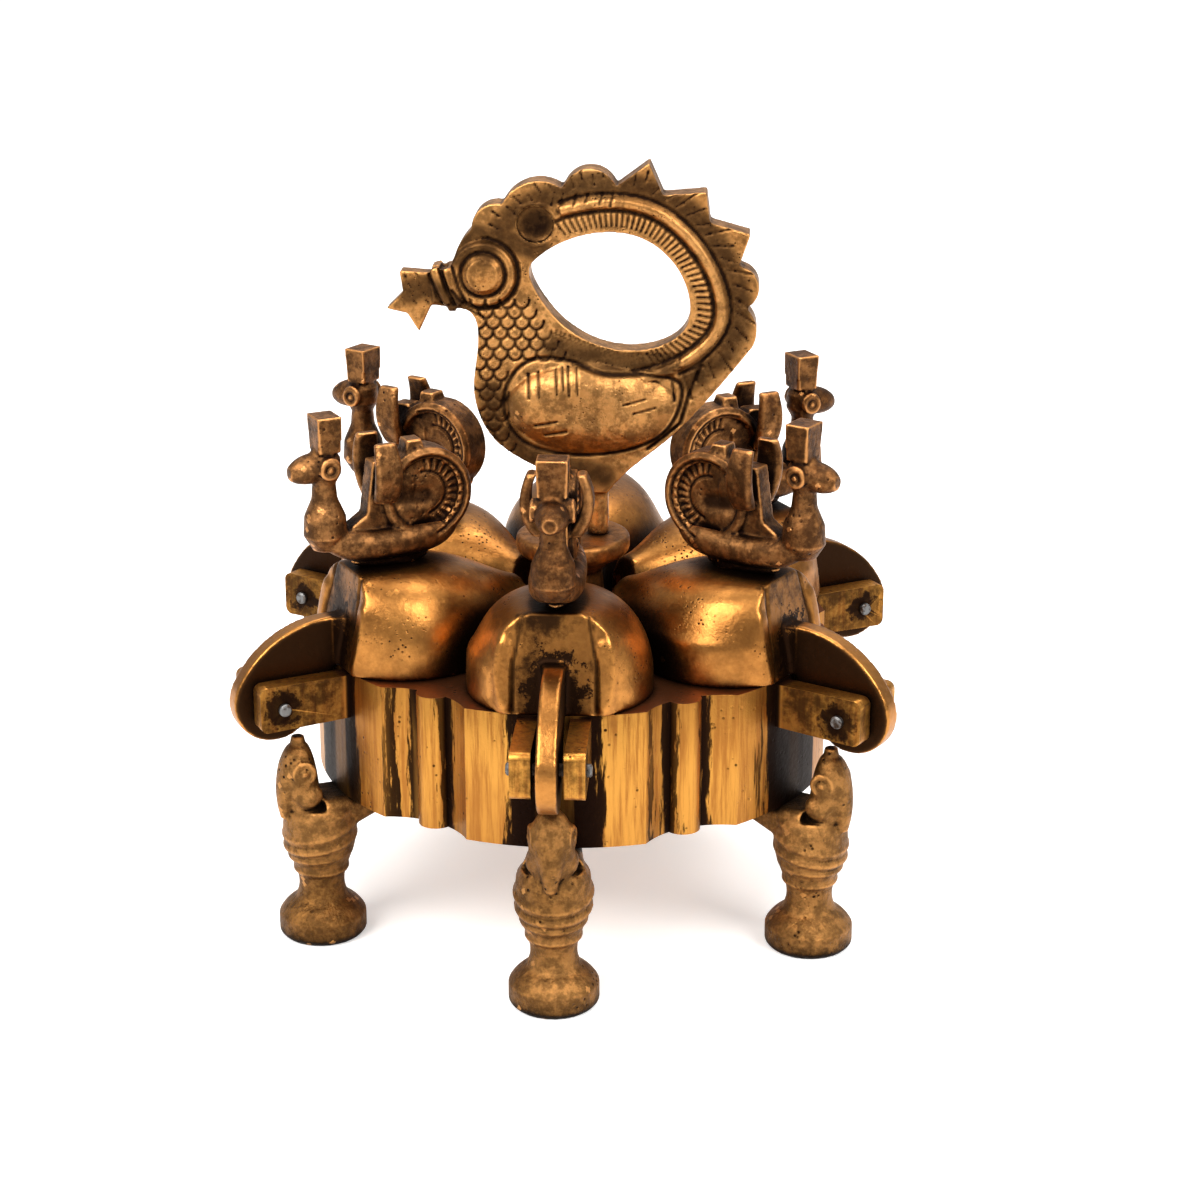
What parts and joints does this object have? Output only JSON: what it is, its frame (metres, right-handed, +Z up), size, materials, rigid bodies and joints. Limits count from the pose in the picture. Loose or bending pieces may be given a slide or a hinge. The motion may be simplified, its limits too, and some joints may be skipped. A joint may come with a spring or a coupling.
{
  "type": "lidded vermilion box",
  "caption": "Cast brass vermilion box: lobed drum on bird-shaped legs, hinged petal lids with bird knobs and a ring-tailed peacock finial.",
  "frame": {"origin": "on the ground under the middle of the drum, which is the middle of the box's bounding box", "axes": "+Z up; the front lid and front leg point along -Y; +X is to the right as the box is seen from the front; the peacock looks along -X"},
  "size_m": [0.1024, 0.1164, 0.12],
  "materials": {
    "body": "brushed, with near-black patina in the grooves",
    "lid": "worn polish over brown patina",
    "knob": "dark patina with rubbed edges",
    "leg": "rough cast, greenish brown patina",
    "finial": "worn polish, dark in the chased lines",
    "pin": "dull grey"
  },
  "bodies": {
    "box": {"box_body": "body", "finial_base": "finial", "peacock": "finial", "leg_front": "leg", "leg_right": "leg", "leg_back": "leg", "leg_left": "leg", "hinge_pin_front": "pin", "hinge_pin_front_right": "pin", "hinge_pin_back_right": "pin", "hinge_pin_back": "pin", "hinge_pin_back_left": "pin", "hinge_pin_front_left": "pin"},
    "lid_body_front": {"lid_front": "lid", "bird_knob_front": "knob"},
    "lid_body_front_right": {"lid_front_right": "lid", "bird_knob_front_right": "knob"},
    "lid_body_back_right": {"lid_back_right": "lid", "bird_knob_back_right": "knob"},
    "lid_body_back": {"lid_back": "lid", "bird_knob_back": "knob"},
    "lid_body_back_left": {"lid_back_left": "lid", "bird_knob_back_left": "knob"},
    "lid_body_front_left": {"lid_front_left": "lid", "bird_knob_front_left": "knob"}
  },
  "joints": [
    {"name": "hinge_front", "type": "hinge", "parent": "box", "child": "lid_body_front", "pos_m": [0, -0.0517, 0.0409], "axis": [1, 0, 0], "range_deg": [0, 110]},
    {"name": "hinge_front_right", "type": "hinge", "parent": "box", "child": "lid_body_front_right", "pos_m": [0.04477, -0.02585, 0.0409], "axis": [0.5, 0.866, 0], "range_deg": [0, 110]},
    {"name": "hinge_back_right", "type": "hinge", "parent": "box", "child": "lid_body_back_right", "pos_m": [0.04477, 0.02585, 0.0409], "axis": [-0.5, 0.866, 0], "range_deg": [0, 110]},
    {"name": "hinge_back", "type": "hinge", "parent": "box", "child": "lid_body_back", "pos_m": [0, 0.0517, 0.0409], "axis": [-1, 0, 0], "range_deg": [0, 110]},
    {"name": "hinge_back_left", "type": "hinge", "parent": "box", "child": "lid_body_back_left", "pos_m": [-0.04477, 0.02585, 0.0409], "axis": [-0.5, -0.866, 0], "range_deg": [0, 110]},
    {"name": "hinge_front_left", "type": "hinge", "parent": "box", "child": "lid_body_front_left", "pos_m": [-0.04477, -0.02585, 0.0409], "axis": [0.5, -0.866, 0], "range_deg": [0, 110]}
  ]
}
